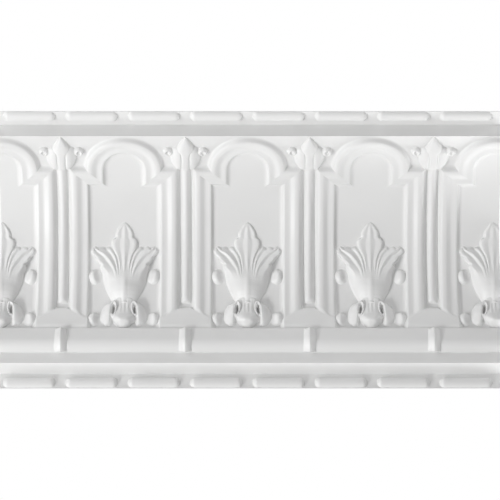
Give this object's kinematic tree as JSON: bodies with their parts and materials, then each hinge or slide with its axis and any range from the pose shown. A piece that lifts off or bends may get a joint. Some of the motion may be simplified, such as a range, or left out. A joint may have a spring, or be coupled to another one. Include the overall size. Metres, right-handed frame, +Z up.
{
  "type": "crown moulding",
  "caption": "Pressed metal crown moulding: coved strip with arched bays, reeded pilasters and leaf relief, nailing strips above and below.",
  "frame": {"origin": "on the wall plane, on the back of the lower nailing strip, half way up the strip, on the axis of the leaf nearest the middle of the run", "axes": "+X along the run, to the right as seen from the room; +Y into the wall; +Z up to the ceiling"},
  "size_m": [0.6185, 0.2226, 0.2544],
  "materials": {
    "white_satin_paint": "satin white paint on pressed steel sheet"
  },
  "bodies": {
    "root": {"crown_moulding": "white_satin_paint"}
  },
  "joints": []
}
